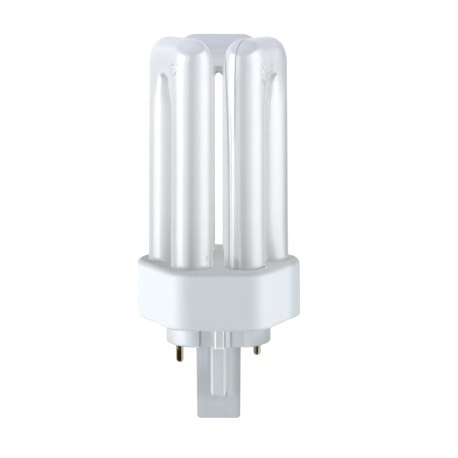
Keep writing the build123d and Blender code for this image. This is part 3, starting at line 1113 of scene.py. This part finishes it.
# The tip is painted paler: painted light.
tone = tint(tree, tone, (0.67, 0.695, 0.73), under(tree, 5.0, 9.0), 0.75)
# A painted sheen on the upper left of the post.
left_sheen = step_up(tree, x, -2.6 * mm, -3.6 * mm)
tone = tint(tree, tone, (0.69, 0.72, 0.785), left_sheen, on_post, over(tree, 13, 20), 0.6)
# Painted light to the right of the rib.
beside_rib_light = line_at(tree, x, 2.3 * mm, 3.0 * mm)
tone = tint(tree, tone, (0.70, 0.745, 0.775), beside_rib_light, on_post, over(tree, 6, 8))
# Painted shade over the left of the collar's front and its notch.
left_half_shade = line_at(tree, x, -5.8 * mm, 5.0 * mm)
tone = tint(tree, tone, (0.43, 0.465, 0.475), left_half_shade, on_collar, 0.6)
# Painted light to the right of the key bar.
beside_bar_light = line_at(tree, x, 2.7 * mm, 1.1 * mm)
tone = tint(tree, tone, (0.70, 0.75, 0.76), beside_bar_light, on_collar, 0.7)
tone = tint(tree, tone, (1.0, 1.0, 1.0), highlit)
print("cap tones", len(tree.nodes), "nodes")

# %% Cap: scuffs, gloss and grain
scuffed = scuffs(tree, 120.0, 0.5)
feed(tree, shader.inputs["Base Color"], tint(tree, tone, (0.92, 0.94, 0.95), scuffed, 0.4))
smooth_post = count(tree, "MULTIPLY_ADD", on_post, -0.32, 0.47)
feed(tree, shader.inputs["Roughness"], count(tree, "MULTIPLY_ADD", scuffed, 0.2, smooth_post))
shader.inputs["Specular IOR Level"].default_value = 0.95
grain(tree, shader, 1100.0, 0.04 * mm, 0.3)
base_cap.material_slots[0].material = cap
print("cap finish", len(tree.nodes), "nodes")

# %% [markdown]
# ## Brass pins
# Drawn brass is bright and fairly pale, with faint rings where it was turned and a duller tone near the
# collar, where it is never rubbed. Anisotropic gloss would hint at the rings, but a wave in the bump draws
# them one by one.

# %% Pin finish
brass, tree, shader = new_paint("drawn_brass")
rings = put(tree, "ShaderNodeTexWave", wave_type="BANDS", bands_direction="Z")
feed(tree, rings.inputs["Vector"], object_place(tree))
rings.inputs["Scale"].default_value = 900.0
rings.inputs["Distortion"].default_value = 1.5
tarnish = count(tree, "ADD", over(tree, 17, 24), clouds(tree, 260.0, 3.0), clamp=True)
tone = tint(tree, (0.83, 0.71, 0.54, 1), (0.62, 0.48, 0.29), tarnish, 0.4)
feed(tree, shader.inputs["Base Color"], tone)
feed(tree, shader.inputs["Roughness"], count(tree, "MULTIPLY_ADD", scuffs(tree, 300.0, 0.3), 0.3, 0.10))
shader.inputs["Metallic"].default_value = 1.0
roughen(tree, shader, rings.outputs["Fac"], 0.01 * mm, 0.2)
for name in ("contact_pin_left", "contact_pin_right"):
    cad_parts[name].material_slots[0].material = brass
print("pin finish", len(tree.nodes), "nodes")

# %% [markdown]
# ## Finishes inside the shell
# The glue, the glow switch, the capacitor and the wires can't be seen when the lamp is whole, but they are
# part of it. One flat colour would do for each, but the shared groups give them a fitting finish in a few
# lines.

# %% Glue
glue, tree, shader = new_paint("dull_glue")
mottle = clouds(tree, 400.0, 4.0)
feed(tree, shader.inputs["Base Color"], tint(tree, (0.76, 0.73, 0.57, 1), (0.84, 0.82, 0.69), mottle))
feed(tree, shader.inputs["Roughness"], count(tree, "MULTIPLY_ADD", mottle, 0.2, 0.45))
grain(tree, shader, 700.0, 0.1 * mm, 0.4)
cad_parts["limb_cement"].material_slots[0].material = glue
bead.data.materials.clear()
bead.data.materials.append(glue)
print("glue finish", len(tree.nodes), "nodes")

# %% Glow switch
clear, tree, shader = new_paint("switch_glass")
tone = tint(tree, (0.62, 0.66, 0.66, 1), (0.90, 0.95, 0.95), over(tree, 3, 12))
feed(tree, shader.inputs["Base Color"], tone)
feed(tree, shader.inputs["Roughness"], count(tree, "ADD", scuffs(tree, 200.0, 0.3), 0.05))
shader.inputs["Transmission Weight"].default_value = 0.8
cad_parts["glow_starter"].material_slots[0].material = clear
print("switch finish", len(tree.nodes), "nodes")

# %% Capacitor
dipped, tree, shader = new_paint("dipped_film")
mottle = clouds(tree, 300.0, 3.0)
feed(tree, shader.inputs["Base Color"], tint(tree, (0.62, 0.30, 0.07, 1), (0.74, 0.42, 0.12), mottle))
feed(tree, shader.inputs["Roughness"], count(tree, "MULTIPLY_ADD", mottle, 0.15, 0.2))
grain(tree, shader, 500.0, 0.06 * mm, 0.3)
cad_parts["suppression_capacitor"].material_slots[0].material = dipped
print("capacitor finish", len(tree.nodes), "nodes")

# %% Wires
plated, tree, shader = new_paint("plated_wire")
tone = tint(tree, (0.74, 0.72, 0.69, 1), (0.60, 0.57, 0.52), clouds(tree, 350.0, 2.0))
feed(tree, shader.inputs["Base Color"], tone)
feed(tree, shader.inputs["Roughness"], count(tree, "MULTIPLY_ADD", scuffs(tree, 500.0, 0.8), 0.3, 0.25))
shader.inputs["Metallic"].default_value = 1.0
for name in ("pin_lead_left", "pin_lead_right", "starter_lead_left", "starter_lead_right"):
    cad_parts[name].material_slots[0].material = plated
print("finishes", sorted(m.name for m in bpy.data.materials if m.users))
